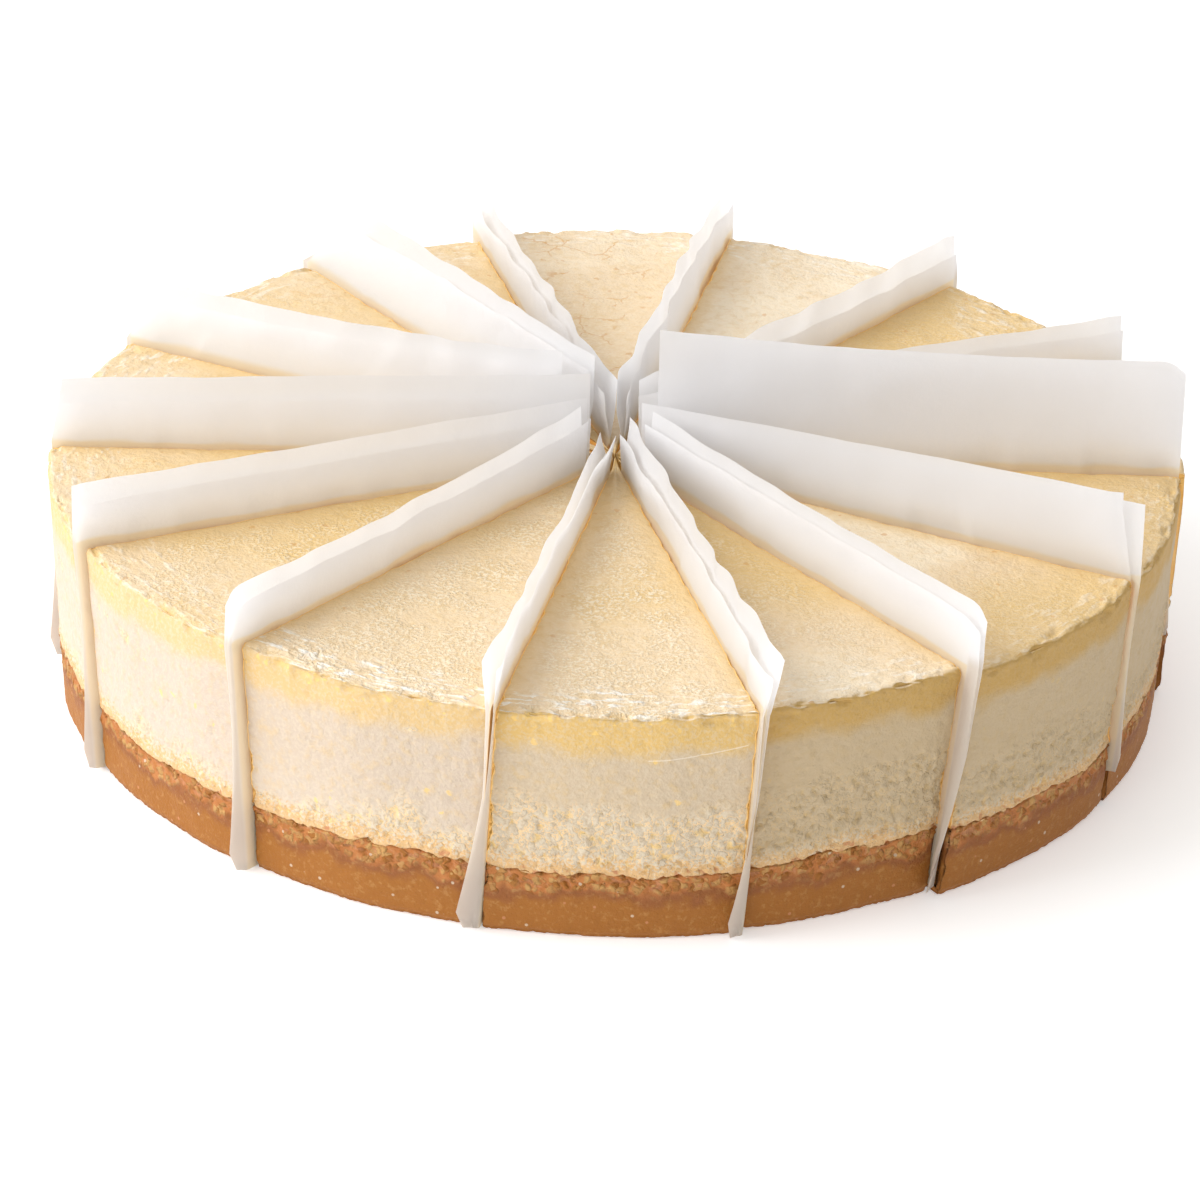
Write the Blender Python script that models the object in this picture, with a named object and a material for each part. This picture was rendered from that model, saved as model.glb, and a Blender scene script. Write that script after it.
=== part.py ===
"""A round baked cheesecake, cut into slices that still stand together, with a folded sheet of
baking paper in each cut. Metres, +Z up. The middle of the underside is the origin and -Y is the front.
"""

from collections import namedtuple
from math import asin, cos, pi, radians, sin

import bmesh
import bpy

MM = 0.001

# Driving sizes of the cake
SLICES = 14
TOP_RADIUS = 127.0 * MM
HEIGHT = 55.7 * MM
SIDE_TAPER = 3.0 * MM
BASE_HEIGHT = 16.0 * MM
CUT_WIDTH = 2.0 * MM
LAYER_GAP = 0.3 * MM
FIRST_CUT = radians(-103.0)
CUT_STEP = 2 * pi / SLICES

# Unevenness of the baked surfaces
CRUST_WAVE = 1.0 * MM
TOP_WAVE = 0.35 * MM
SIDE_WAVE = 0.45 * MM
SIDE_STRETCH = 80

# The grid of a slice: rings from its tip to its outer side, and steps from cut to cut
RING_SHARES = (0.0, 0.28, 0.58, 0.85, 1.0)
STEPS_ACROSS = 6

# Levels of the two layers: share of the layer's height, and how far the side is rounded off there
FILLING_LEVELS = ((0.0, 0.0), (0.48, 0.0), (0.86, 0.0), (0.965, 0.7 * MM), (1.0, 2.8 * MM))
BASE_LEVELS = ((0.0, 1.0 * MM), (0.14, 0.0), (1.0, 0.0))

# Driving sizes of the folded papers, and their levels inside the cut as shares of the cake's height
LEAF = 0.25 * MM
FOLD_GAP = 0.30 * MM
PAPER_FOOT = 0.4 * MM
FOOT_REACH = 129.5 * MM
LEAST_REACH = 128.0 * MM
BAND_LEVEL = 0.34
MOUTH_LEVEL = 0.62
OVER_TOP = 0.3 * MM
STATION_SHARES = (0.0, 0.14, 0.28, 0.42, 0.56, 0.70, 0.84, 0.975, 1.0)

# Each cut: degrees off its even place, degrees its foot is turned from its top, and how far in mm
# the rim of the slice that follows it stands out from the mean radius
Cut = namedtuple("Cut", "turn slant reach")
CUTS = (
    Cut(2.0, -1.3, 0.0),
    Cut(2.2, -1.0, -1.8),
    Cut(-0.9, -2.0, 1.2),
    Cut(-0.1, -1.5, 1.6),
    Cut(-0.4, -1.0, 3.0),
    Cut(-0.2, -0.8, 1.3),
    Cut(0.4, -0.8, 0.8),
    Cut(1.1, -0.8, 1.0),
    Cut(3.3, -0.8, -2.0),
    Cut(-1.8, -0.8, -1.2),
    Cut(0.2, -0.8, 0.3),
    Cut(1.2, -0.6, 1.8),
    Cut(-1.1, 1.5, 0.6),
    Cut(-0.3, 0.9, -0.6),
)

# Each paper, in mm. start and reach are the radii of its inner and outer top corners, and rise_in,
# rise_mid and rise_out its heights over the cake. corner is what the outer corner loses. lean is how
# far that corner tips anticlockwise, and spread how far the leaves stand apart there. step is how much
# lower the anticlockwise leaf ends and short how much less far it reaches, or below 0 the other leaf.
# foot is how high the fold's outer end lies, and curl how far it turns clockwise. wave is the depth of
# the ripples.
Paper = namedtuple(
    "Paper", "start reach rise_in rise_mid rise_out corner lean spread step short foot curl wave"
)
PAPERS = (
    Paper(8.0, 130.0, 9.0, 9.5, 10.6, 0.0, -0.9, 3.2, 0.4, 0.0, 0.4, 2.2, 1.2),
    Paper(8.0, 130.0, 13.0, 13.0, 13.1, 0.0, 1.9, 2.4, -4.2, 0.0, 0.4, 2.6, 2.2),
    Paper(12.0, 130.0, 15.0, 14.5, 15.0, 3.0, 0.5, 1.4, -2.5, -0.5, 2.0, 2.6, 0.6),
    Paper(7.0, 129.0, 15.0, 18.0, 21.0, 0.0, -1.0, 1.4, 2.5, -4.5, 9.0, 1.0, 0.4),
    Paper(9.4, 128.3, 31.0, 27.5, 27.2, 3.0, 0.0, 1.0, -1.2, -0.4, 15.0, 0.0, 0.3),
    Paper(6.0, 131.0, 13.0, 13.6, 12.0, 0.0, 0.0, 1.2, -3.0, -0.4, 6.0, 0.6, 0.5),
    Paper(9.0, 131.0, 15.0, 12.0, 11.6, 0.5, 0.0, 1.4, -4.5, -0.5, 3.0, 1.0, 1.0),
    Paper(6.0, 130.5, 15.5, 16.0, 11.2, 0.0, 1.0, 1.8, -3.0, -0.4, 0.4, 1.0, 2.0),
    Paper(6.0, 130.0, 15.5, 13.0, 9.8, 0.0, -1.0, 2.0, 3.0, 0.4, 1.0, 1.0, 1.6),
    Paper(10.5, 117.5, 20.0, 17.0, 12.5, 0.0, -12.0, 1.2, 3.0, 0.4, 2.0, 0.6, 0.6),
    Paper(14.6, 122.0, 21.5, 16.0, 13.5, 0.0, -5.0, 1.2, 3.0, 0.4, 3.0, 0.6, 0.6),
    Paper(6.0, 125.3, 19.3, 17.7, 16.0, 0.0, 0.0, 1.4, 5.4, 0.4, 1.0, 0.0, 0.4),
    Paper(6.6, 130.2, 14.7, 14.6, 14.0, 0.0, 0.0, 1.4, 4.2, 0.4, 1.0, 0.6, 0.4),
    Paper(11.0, 130.0, 15.4, 12.6, 13.2, 3.0, 0.0, 1.6, 3.0, 0.5, 0.4, 0.8, 0.8),
)

# Ripples of a paper: how many along its length, and where along it they reach their full depth
RIPPLES = 2.3
RIPPLE_RISE = 0.3
INNER_SPREAD = 0.25
CORNER_START = 0.95


def unevenness(angle, radius, turns, phase):
    """A smooth value between about -1 and 1 over the round plan of the cake."""
    ring = radius / TOP_RADIUS
    return (
        0.45 * sin(turns * angle + phase)
        + 0.35 * sin(2.3 * turns * angle - 4.1 * ring + 2.1 * phase)
        + 0.20 * cos(3.9 * turns * angle + 9.7 * ring + phase)
    )


def cut_angle(index, z):
    """Direction of a cut at height z. The knife leaned, so the foot is turned a little from the top."""
    cut = CUTS[index % SLICES]
    depth = 1.0 - min(z, HEIGHT) / HEIGHT
    return FIRST_CUT + index * CUT_STEP + radians(cut.turn + cut.slant * depth)


def beside_cut(index, radius, aside, z):
    """The point at this radius along a cut and this far anticlockwise of it."""
    angle = cut_angle(index, z)
    return (
        radius * cos(angle) - aside * sin(angle),
        radius * sin(angle) + aside * cos(angle),
        z,
    )


def slice_point(index, ring, step, rounding, z):
    """A corner of a slice's grid at height z, with its outer ring drawn in by rounding."""
    first = cut_angle(index, z)
    last = cut_angle(index + 1, z)
    share = step / STEPS_ACROSS
    tip = CUT_WIDTH / 2 / sin((last - first) / 2)
    outer = TOP_RADIUS + CUTS[index].reach * MM - SIDE_TAPER * (1.0 - z / HEIGHT)
    middle_angle = first + share * (last - first)
    outer += SIDE_WAVE * unevenness(middle_angle, SIDE_STRETCH * z, turns=9, phase=0.7)
    radius = tip + RING_SHARES[ring] * (outer - tip)
    if ring == len(RING_SHARES) - 1:
        radius -= rounding
    clearance = asin(min(1.0, CUT_WIDTH / 2 / radius))
    angle = first + clearance + share * (last - first - 2 * clearance)
    return (radius * cos(angle), radius * sin(angle), z)


def surface_height(index, ring, step, mean, wave, phase):
    """Height of an uneven level surface of the cake at a corner of a slice's grid."""
    angle = cut_angle(index, mean) + step / STEPS_ACROSS * CUT_STEP
    if ring == 0:
        angle = cut_angle(index, mean) + CUT_STEP / 2
    return mean + wave * unevenness(angle, RING_SHARES[ring] * TOP_RADIUS, turns=7, phase=phase)


def crust_height(index, ring, step):
    """Where the crumb base ends and the filling begins."""
    return surface_height(index, ring, step, BASE_HEIGHT, CRUST_WAVE, phase=2.4)


def skin(shape, rows):
    """Joins rows of corners by triangles. Rows that share a corner close to a point there."""
    for low, high in zip(rows, rows[1:]):
        for here in range(len(low) - 1):
            there = here + 1
            for corners in (
                (low[here], low[there], high[there]),
                (low[here], high[there], high[here]),
            ):
                if len(set(corners)) == 3:
                    shape.faces.new(corners)


def wedge(shape, index, levels, floor, roof):
    """A layer of one slice, between two height functions of the grid's ring and step."""
    rings = range(len(RING_SHARES))
    steps = range(STEPS_ACROSS + 1)
    grid = []
    for height_share, rounding in levels:
        level = []
        for ring in rings:
            row = []
            for step in steps:
                low = floor(index, ring, step)
                z = low + height_share * (roof(index, ring, step) - low)
                if ring == 0 and step > 0:
                    row.append(row[0])
                else:
                    row.append(shape.verts.new(slice_point(index, ring, step, rounding, z)))
            level.append(row)
        grid.append(level)
    skin(shape, grid[0])
    skin(shape, grid[-1])
    skin(shape, [level[-1] for level in grid])
    for edge in (0, -1):
        skin(shape, [[row[edge] for row in level] for level in grid])


def filling(shape, index):
    def floor(index, ring, step):
        return crust_height(index, ring, step) + LAYER_GAP / 2

    def roof(index, ring, step):
        return surface_height(index, ring, step, HEIGHT - TOP_WAVE, TOP_WAVE, phase=4.0)

    wedge(shape, index, FILLING_LEVELS, floor, roof)


def base(shape, index):
    def floor(index, ring, step):
        return 0.0

    def roof(index, ring, step):
        return crust_height(index, ring, step) - LAYER_GAP / 2

    wedge(shape, index, BASE_LEVELS, floor, roof)


def full_rise(paper, share):
    """How far the higher leaf stands over the cake at this share of the paper's length."""
    low, middle, high = paper.rise_in, paper.rise_mid, paper.rise_out
    bend = 2 * (low + high - 2 * middle)
    rise = low + (high - low) * share + bend * share * (share - 1.0)
    if share > CORNER_START:
        rise -= paper.corner * (share - CORNER_START) / (1.0 - CORNER_START)
    return rise * MM


def fold_height(paper, share):
    return PAPER_FOOT + (paper.foot * MM - PAPER_FOOT) * share


def leaf_levels(paper, side, share):
    """A leaf's levels from foot to top, as height and part of the splay at the outer end.

    side is 1 for the anticlockwise leaf and -1 for the clockwise one. Both leaves share their levels up
    to the top of the lower one, so they stay side by side where the paper leans.
    """
    high = full_rise(paper, share)
    low = high - abs(paper.step) * MM
    levels = [
        (fold_height(paper, share), 0.0),
        (BAND_LEVEL * HEIGHT, 0.05),
        (MOUTH_LEVEL * HEIGHT, 0.3),
        (HEIGHT + OVER_TOP, 0.6),
        (HEIGHT + low, 0.6 + 0.4 * low / high),
    ]
    if side * paper.step < 0:
        levels.append((HEIGHT + high, 1.0))
    return levels


def leaf_line(index, paper, side, share):
    """The middle of one leaf at this share of its length, as (radius, aside, z) from foot to top."""
    at_end = share == 1.0
    spread_share = INNER_SPREAD + (1.0 - INNER_SPREAD) * share
    ripple_share = min(1.0, share / RIPPLE_RISE)
    ripple = sin(2 * pi * RIPPLES * share + 1.7 * index) * ripple_share
    start = paper.start * MM
    rim_reach = max(paper.reach * MM, LEAST_REACH)
    line = []
    for z, splay in leaf_levels(paper, side, share):
        risen = max(0.0, z - HEIGHT - OVER_TOP) / full_rise(paper, share)
        reach = FOOT_REACH + (rim_reach - FOOT_REACH) * min(1.0, z / HEIGHT)
        reach += (paper.reach * MM - rim_reach) * risen
        reach -= max(0.0, side * paper.short) * MM * splay
        radius = start + share * (reach - start)
        opening = splay if at_end else risen
        aside = side * ((FOLD_GAP + LEAF) / 2 + paper.spread * MM / 2 * spread_share * opening)
        aside += (paper.lean * share + paper.wave * ripple) * MM * risen
        if at_end:
            aside -= paper.curl * MM * max(0.0, 1.0 - z / (MOUTH_LEVEL * HEIGHT))
        line.append((radius, aside, z))
    return line


def folded_paper(shape, index):
    """One sheet folded at its foot. Each leaf has an outer and an inner face, from foot to top."""
    paper = PAPERS[index]
    stations = []
    for share in STATION_SHARES:
        lines = []
        for side, outward in ((1, 1), (1, -1), (-1, 1), (-1, -1)):
            line = []
            for radius, aside, z in leaf_line(index, paper, side, share):
                if z == fold_height(paper, share) and outward < 0:
                    z += LEAF
                aside += side * outward * LEAF / 2
                line.append(shape.verts.new(beside_cut(index, radius, aside, z)))
            lines.append(line)
        stations.append(lines)
    for face in range(4):
        skin(shape, [lines[face] for lines in stations])
    for first, second, end in ((0, 1, -1), (2, 3, -1), (0, 2, 0), (1, 3, 0)):
        skin(shape, [[lines[first][end], lines[second][end]] for lines in stations])
    for outer, inner, far_outer, far_inner in (stations[0], stations[-1]):
        skin(shape, [outer, inner])
        skin(shape, [far_outer, far_inner])
        skin(shape, [[outer[0], far_outer[0]], [inner[0], far_inner[0]]])


def new_material(name, colour, roughness):
    material = bpy.data.materials.new(name)
    material.use_nodes = True
    shader = material.node_tree.nodes["Principled BSDF"]
    shader.inputs["Base Color"].default_value = (*colour, 1.0)
    shader.inputs["Roughness"].default_value = roughness
    shader.inputs["Metallic"].default_value = 0.0
    return material


def new_object(name, fill, index, material):
    shape = bmesh.new()
    fill(shape, index)
    bmesh.ops.recalc_face_normals(shape, faces=shape.faces)
    mesh = bpy.data.meshes.new(name)
    shape.to_mesh(mesh)
    shape.free()
    mesh.materials.append(material)
    obj = bpy.data.objects.new(name, mesh)
    bpy.context.scene.collection.objects.link(obj)


def main():
    for obj in list(bpy.data.objects):
        bpy.data.objects.remove(obj)
    parts = (
        ("filling", filling, new_material("cheese_filling", (0.86, 0.67, 0.38), 0.45)),
        ("base", base, new_material("crumb_base", (0.48, 0.24, 0.08), 0.75)),
        ("paper", folded_paper, new_material("baking_paper", (0.90, 0.88, 0.85), 0.55)),
    )
    for kind, fill, material in parts:
        for index in range(SLICES):
            new_object(f"{kind}_{index + 1:02d}", fill, index, material)


main()
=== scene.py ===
"""Looks of a round baked cheesecake, cut into slices that stand together with a folded paper in each cut.

Every slice's filling and crumb base, and every paper, is a detailed mesh in place of its plain solid.
"""

from collections import namedtuple
from functools import reduce
from itertools import product
from math import cos, pi, radians, sin
from types import SimpleNamespace

import bpy
import numpy as np
from mathutils import Matrix, Vector
from mathutils.geometry import tessellate_polygon

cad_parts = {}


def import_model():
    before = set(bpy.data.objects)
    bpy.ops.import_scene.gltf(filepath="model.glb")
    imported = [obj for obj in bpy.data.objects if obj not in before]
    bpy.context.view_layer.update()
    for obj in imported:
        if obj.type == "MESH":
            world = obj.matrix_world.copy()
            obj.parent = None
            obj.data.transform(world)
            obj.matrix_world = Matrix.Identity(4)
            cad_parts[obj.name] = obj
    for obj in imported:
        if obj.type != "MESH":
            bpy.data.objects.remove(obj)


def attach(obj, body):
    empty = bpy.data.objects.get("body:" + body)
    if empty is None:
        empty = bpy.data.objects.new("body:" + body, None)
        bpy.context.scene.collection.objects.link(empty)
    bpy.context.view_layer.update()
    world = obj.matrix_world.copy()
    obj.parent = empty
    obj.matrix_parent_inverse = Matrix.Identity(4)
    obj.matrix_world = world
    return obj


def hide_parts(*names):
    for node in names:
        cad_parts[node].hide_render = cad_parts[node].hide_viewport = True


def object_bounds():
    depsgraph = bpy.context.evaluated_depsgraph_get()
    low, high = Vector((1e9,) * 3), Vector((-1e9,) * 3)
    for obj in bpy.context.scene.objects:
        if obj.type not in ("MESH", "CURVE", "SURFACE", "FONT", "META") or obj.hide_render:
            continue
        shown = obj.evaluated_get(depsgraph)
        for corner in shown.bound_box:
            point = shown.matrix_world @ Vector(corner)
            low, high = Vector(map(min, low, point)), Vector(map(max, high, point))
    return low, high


MM = 0.001

# Sizes of the cake, as in the solids, in mm
SLICES = 14
TOP_RADIUS = 127.0
HEIGHT = 55.7
SIDE_TAPER = 3.0
BASE_HEIGHT = 16.0
FIRST_CUT = radians(-103.0)
CUT_STEP = 2 * pi / SLICES
CRUST_WAVE = 1.0
TOP_WAVE = 0.35
SIDE_WAVE = 0.45
SIDE_STRETCH = 0.08

# Each cut: degrees that it is turned from its even place, and more at its foot; and how many mm the slice
# after it stands out
Cut = namedtuple("Cut", "turn slant reach")
CUTS = (
    Cut(2.0, -1.3, 0.0),
    Cut(2.2, -1.0, -1.8),
    Cut(-0.9, -2.0, 1.2),
    Cut(-0.1, -1.5, 1.6),
    Cut(-0.4, -1.0, 3.0),
    Cut(-0.2, -0.8, 1.3),
    Cut(0.4, -0.8, 0.8),
    Cut(1.1, -0.8, 1.0),
    Cut(3.3, -0.8, -2.0),
    Cut(-1.8, -0.8, -1.2),
    Cut(0.2, -0.8, 0.3),
    Cut(1.2, -0.6, 1.8),
    Cut(-1.1, 1.5, 0.6),
    Cut(-0.3, 0.9, -0.6),
)

# For each slice: how yellow its top has baked inside and at the rim, paler below 0, which on slice 3 is a
# painted reflection; its side's painted shade, from -1, painted light, to 1; how cracked, stippled and
# wrinkled its top is, and up to what height in mm its side is crumbly
INNER_TINTS = (0.55, 0.95, -1.5, 0.8, 0.6, 0.95, -0.9, 0.2, 0.75, 0.5, 0.5, 0.9, 1.1, 0.35)
RIM_TINTS = (0.2, -0.3, 0.75, 0.8, 0.7, 0.9, -0.4, -0.2, 0.35, 0.3, 0.35, 0.3, 0.4, 0.1)
SIDE_SHADES = (0.1, 0.8, 1.0, 0.7, 0.6, 0.5, 0.3, 0.2, 0.2, 0.1, -0.2, -0.7, -1.0, -0.6)
CRACKS = (0.0, 0.0, 0.3, 0.2, 0.2, 0.2, 0.2, 0.9, 0.5, 0.35, 0.25, 0.15, 0.1, 0.0)
STIPPLED = (1.0, 0.6, 0.35, 0.3, 0.3, 0.35, 0.35, 0.3, 0.25, 0.3, 0.35, 0.35, 0.7, 1.0)
WRINKLED = (1.0, 0.45, 0.25, 0.25, 0.3, 0.4, 0.4, 0.4, 0.4, 0.4, 0.45, 0.35, 0.35, 1.0)
CRUMB_TOPS = (34.0, 36.0, 33.0, 32.0, 28.0, 28.0, 30.0, 27.0, 31.0, 28.0, 26.0, 24.0, 21.0, 25.0)

# Each paper, in mm: where it starts and ends; its rise over the cake inside, midway and outside; how much of
# its outer corner is cut; how far it leans and its leaves spread; how much lower and shorter one leaf is;
# how high its foot ends; and as shares, how far that end turns along the side, and how wavy the paper is
Paper = namedtuple(
    "Paper", "start reach rise_in rise_mid rise_out corner lean spread step short foot flap wave"
)
PAPERS = (
    Paper(8.0, 130.0, 9.0, 9.5, 10.6, 0.0, -0.9, 3.2, 0.4, 0.0, 0.4, 1.0, 0.45),
    Paper(8.0, 130.0, 13.0, 13.0, 13.1, 0.0, 1.9, 2.4, -4.2, 0.0, 0.4, 0.9, 1.0),
    Paper(12.0, 130.0, 15.0, 14.5, 15.0, 3.0, 0.5, 1.4, -2.5, -0.5, 2.0, 0.8, 0.3),
    Paper(7.0, 129.0, 15.0, 18.0, 21.0, 0.0, -1.0, 1.4, 2.5, -4.5, 9.0, 0.4, 0.2),
    Paper(9.4, 128.3, 31.0, 27.5, 27.2, 3.0, 0.0, 1.0, -1.2, -0.4, 15.0, 0.0, 0.3),
    Paper(6.0, 131.0, 13.0, 13.6, 12.0, 0.0, 0.0, 1.2, -3.0, -0.4, 6.0, 0.4, 0.5),
    Paper(9.0, 131.0, 15.0, 12.0, 11.6, 0.5, 0.0, 1.4, -4.5, -0.5, 3.0, 0.5, 1.0),
    Paper(6.0, 130.5, 15.5, 16.0, 11.2, 0.0, 1.0, 1.8, -3.0, -0.4, 0.4, 0.6, 1.1),
    Paper(6.0, 130.0, 15.5, 13.0, 9.8, 0.0, -1.0, 2.0, 3.0, 0.4, 1.0, 0.6, 0.9),
    Paper(10.5, 117.5, 20.0, 17.0, 12.5, 0.0, -12.0, 1.2, 3.0, 0.4, 2.0, 0.4, 0.6),
    Paper(14.6, 122.0, 21.5, 16.0, 13.5, 0.0, -5.0, 1.2, 3.0, 0.4, 3.0, 0.4, 0.6),
    Paper(6.0, 125.3, 19.3, 17.7, 16.0, 0.0, 0.0, 1.4, 5.4, 0.4, 1.0, 0.0, 0.4),
    Paper(6.6, 130.2, 14.7, 14.6, 14.0, 0.0, 0.0, 1.4, 4.2, 0.4, 1.0, 0.3, 0.25),
    Paper(11.0, 130.0, 15.4, 12.6, 13.2, 3.0, 0.0, 1.6, 3.0, 0.5, 0.4, 0.5, 0.5),
)

# In mm: the gap between the leaves' outer ends, how far each leaf is from their middle, and the least of
# that where both swing aside, how far they swing, how far out the foot and the leaf at the rim reach, and
# how far over the top the cake holds them
END_GAP = 0.25
HALF_GAP = 0.57
LEAST_HALF_GAP = 0.12
SWING = 0.40
FOOT_REACH = 129.5
LEAST_REACH = 128.0
OVER_TOP = 0.3

# Bends in each paper, the share of its length that rounds each, the share of the leaves' spread midway and
# at the inner end, and from where along it the outer corner is cut
BENDS = 13
BEND_ROUNDING = 0.014
MIDDLE_SPREAD = 0.25
INNER_SPREAD = 0.8
CORNER_START = 0.95

# Heights in mm where the leaves' outer ends splay, and the part of the splay that each has there
SPLAY_HEIGHTS = (0.0, 18.9, 34.5, 56.0, 72.0)
SPLAY_SHARES = (0.0, 0.03, 0.10, 0.45, 1.0)


def stacked(*parts):
    """Points of shape (..., axes), from numbers or arrays for each axis."""
    return np.stack(np.broadcast_arrays(*parts), axis=-1)


def smoothstep(low, high, value):
    share = np.clip((value - low) / (high - low), 0.0, 1.0)
    return share * share * (3.0 - 2.0 * share)


# Repeatable noise


def scatter(cell, seed):
    """Repeatable values from 0 to 1 for whole-number cells of shape (..., axes)."""
    mixed = np.full(cell.shape[:-1], seed * 40503 + 17, dtype=np.uint32)
    for axis, factor in zip(range(cell.shape[-1]), (73856093, 19349663, 83492791)):
        mixed ^= cell[..., axis].astype(np.uint32) * np.uint32(factor)
        mixed = (mixed ^ (mixed >> np.uint32(15))) * np.uint32(2246822519)
        mixed = (mixed ^ (mixed >> np.uint32(13))) * np.uint32(3266489917)
    return (mixed ^ (mixed >> np.uint32(16))) / 2.0**32


def noise(points, seed):
    """Smooth noise between -1 and 1, with features about 1 across, at points of shape (..., 3)."""
    cell = np.floor(points).astype(np.int64)
    part = points - cell
    part = part**3 * (part * (part * 6.0 - 15.0) + 10.0)
    total = np.zeros(points.shape[:-1])
    for corner in product((0, 1), repeat=3):
        weight = np.prod(np.where(corner, part, 1.0 - part), axis=-1)
        total += weight * scatter(cell + np.array(corner), seed)
    return 2.0 * total - 1.0


def layered_noise(points, octaves, seed):
    """Noise with finer and weaker noise added to it, each turned from the last.

    Each use has a seed of its own, so that no two patterns match.
    """
    turn = np.array(Matrix.Rotation(0.9, 3, Vector((1.0, 2.0, 3.0))))
    total = np.zeros(points.shape[:-1])
    for octave in range(octaves):
        total += noise(points, seed + octave) / 2**octave
        points = points @ turn * 2.03
    return total


def pits(points, share, seed):
    """Depth from 0 to 1 of round pits at flat points of shape (..., 2), in that share of cells 1 across."""
    cell = np.floor(points).astype(np.int64)
    depth = np.zeros(points.shape[:-1])
    for offset in product((-1, 0, 1), repeat=2):
        near = cell + np.array(offset)
        centre = near + stacked(scatter(near, seed), scatter(near, seed + 1))
        radius = 0.15 + 0.35 * scatter(near, seed + 2)
        held = scatter(near, seed + 3) < share
        distance = np.linalg.norm(points - centre, axis=-1)
        depth = np.maximum(depth, held * np.clip(1.0 - (distance / radius) ** 2, 0.0, 1.0))
    return np.sqrt(depth)


# The cake's own forms, as in the solids


def unevenness(angle, radius, turns, phase):
    """A slow wave between -1 and 1 round the cake, which changes outwards."""
    ring = radius / TOP_RADIUS
    return (
        0.45 * np.sin(turns * angle + phase)
        + 0.35 * np.sin(2.3 * turns * angle - 4.1 * ring + 2.1 * phase)
        + 0.20 * np.cos(3.9 * turns * angle + 9.7 * ring + phase)
    )


def cut_angle(index, z):
    """Direction of a cut at this height, in radians."""
    cut = CUTS[index % SLICES]
    depth = 1.0 - np.minimum(z, HEIGHT) / HEIGHT
    return FIRST_CUT + index * CUT_STEP + np.radians(cut.turn + cut.slant * depth)


def outer_radius(index, angle, z):
    wave = SIDE_WAVE * unevenness(angle, SIDE_STRETCH * z, 9, 0.7)
    return TOP_RADIUS + CUTS[index].reach - SIDE_TAPER * (1.0 - z / HEIGHT) + wave


def roof_height(angle, radius):
    return HEIGHT - TOP_WAVE + TOP_WAVE * unevenness(angle, radius, 7, 4.0)


def crust_line(angle):
    """Where crumb base and filling meet, with the ragged edge that the baked crumb leaves."""
    ragged = 0.55 * layered_noise(to_points(angle, TOP_RADIUS, 0.0) / 3.6, 3, 71)
    return BASE_HEIGHT + CRUST_WAVE * unevenness(angle, TOP_RADIUS, 7, 2.4) + ragged


# A slice's closed profile

# In mm: how clear of the cut's middle a slice stays, its inner end, where it is fully clear, how far in and
# down its rim rounds, and how far out the skin lies where filling and base meet
SKIN_CLEARANCE = 0.60
TIP_RADIUS = 1.0
FULL_CLEARANCE_RADIUS = 6.0
ROUND_IN = 1.6
ROUND_DROP = 1.4
FLUSH = -0.15

# Columns from cut to cut, and rows in each part of the profile
ACROSS = 92
TOP_ROWS = 118
CORNER_ROWS = 9
SIDE_ROWS = 68
BASE_ROWS = 30

# Rows under the filling or the base from rim to tip, and rows up the tip, as shares of the way
UNDER_SHARES = (0.975, 0.93, 0.75, 0.5, 0.25, 0.0)
TIP_SHARES = (0.2, 0.4, 0.6, 0.8)

# How far in mm the filling and the base reach into each other, out of sight
FILLING_OVERLAP = 0.3
BASE_OVERLAP = 1.2


def across_shares():
    """Shares of the way from cut to cut, closer together at the two cuts."""
    even = np.linspace(-1.0, 1.0, ACROSS)
    return 0.5 + 0.5 * np.sign(even) * (1.0 - (1.0 - np.abs(even)) ** 1.12)


def filling_profile(index, share):
    """Radius and height of each row of the filling, for the columns at these shares from cut to cut."""
    angle = cut_angle(index, HEIGHT) + share * CUT_STEP
    tip = TIP_RADIUS
    line = crust_line(angle)
    radii, heights = [], []
    corner_radius = outer_radius(index, angle, HEIGHT) - ROUND_IN
    out = np.linspace(0.0, 1.0, TOP_ROWS)
    for step in out * (1.45 - 0.45 * out):
        radius = tip + step * (corner_radius - tip)
        radii.append(radius)
        heights.append(roof_height(angle, radius))
    crown = heights[-1]
    for turn in np.linspace(0.0, pi / 2, CORNER_ROWS)[1:]:
        z = crown - ROUND_DROP * (1.0 - cos(turn))
        radii.append(outer_radius(index, angle, z) - ROUND_IN * (1.0 - sin(turn)))
        heights.append(z)
    shoulder = heights[-1]
    for step in np.linspace(0.0, 1.0, SIDE_ROWS)[1:]:
        z = shoulder + step * (line - shoulder)
        radii.append(outer_radius(index, angle, z))
        heights.append(z)
    foot_radius = radii[-1]
    for step in UNDER_SHARES:
        radii.append(tip + step * (foot_radius - tip))
        heights.append(line - FILLING_OVERLAP + (BASE_HEIGHT - line) * (1.0 - step))
    inner_foot = heights[-1]
    for step in TIP_SHARES:
        radii.append(tip + 0.0 * share)
        heights.append(inner_foot * (1 - step) + step * heights[0])
    return np.array(radii), np.array(heights)


def base_profile(index, share):
    """Radius and height of each row of the crumb base, for the same columns."""
    angle = cut_angle(index, BASE_HEIGHT) + share * CUT_STEP
    tip = TIP_RADIUS
    line = crust_line(angle)
    rim = outer_radius(index, angle, line)
    radii, heights = [], []
    for step in UNDER_SHARES[::-1]:
        radii.append(tip + step * (rim - tip))
        heights.append(line + BASE_OVERLAP + (BASE_HEIGHT - line) * (1.0 - step))
    for step in np.linspace(0.0, 1.0, BASE_ROWS):
        z = line * (1.0 - step)
        radii.append(outer_radius(index, angle, z) - 0.9 * (1.0 - smoothstep(0.0, 1.8, z)))
        heights.append(z)
    foot = radii[-1]
    for step in UNDER_SHARES[1:]:
        radii.append(tip + step * (foot - tip))
        heights.append(0.0 * share)
    for step in TIP_SHARES:
        radii.append(tip + 0.0 * share)
        heights.append(step * heights[0])
    return np.array(radii), np.array(heights)


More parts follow.
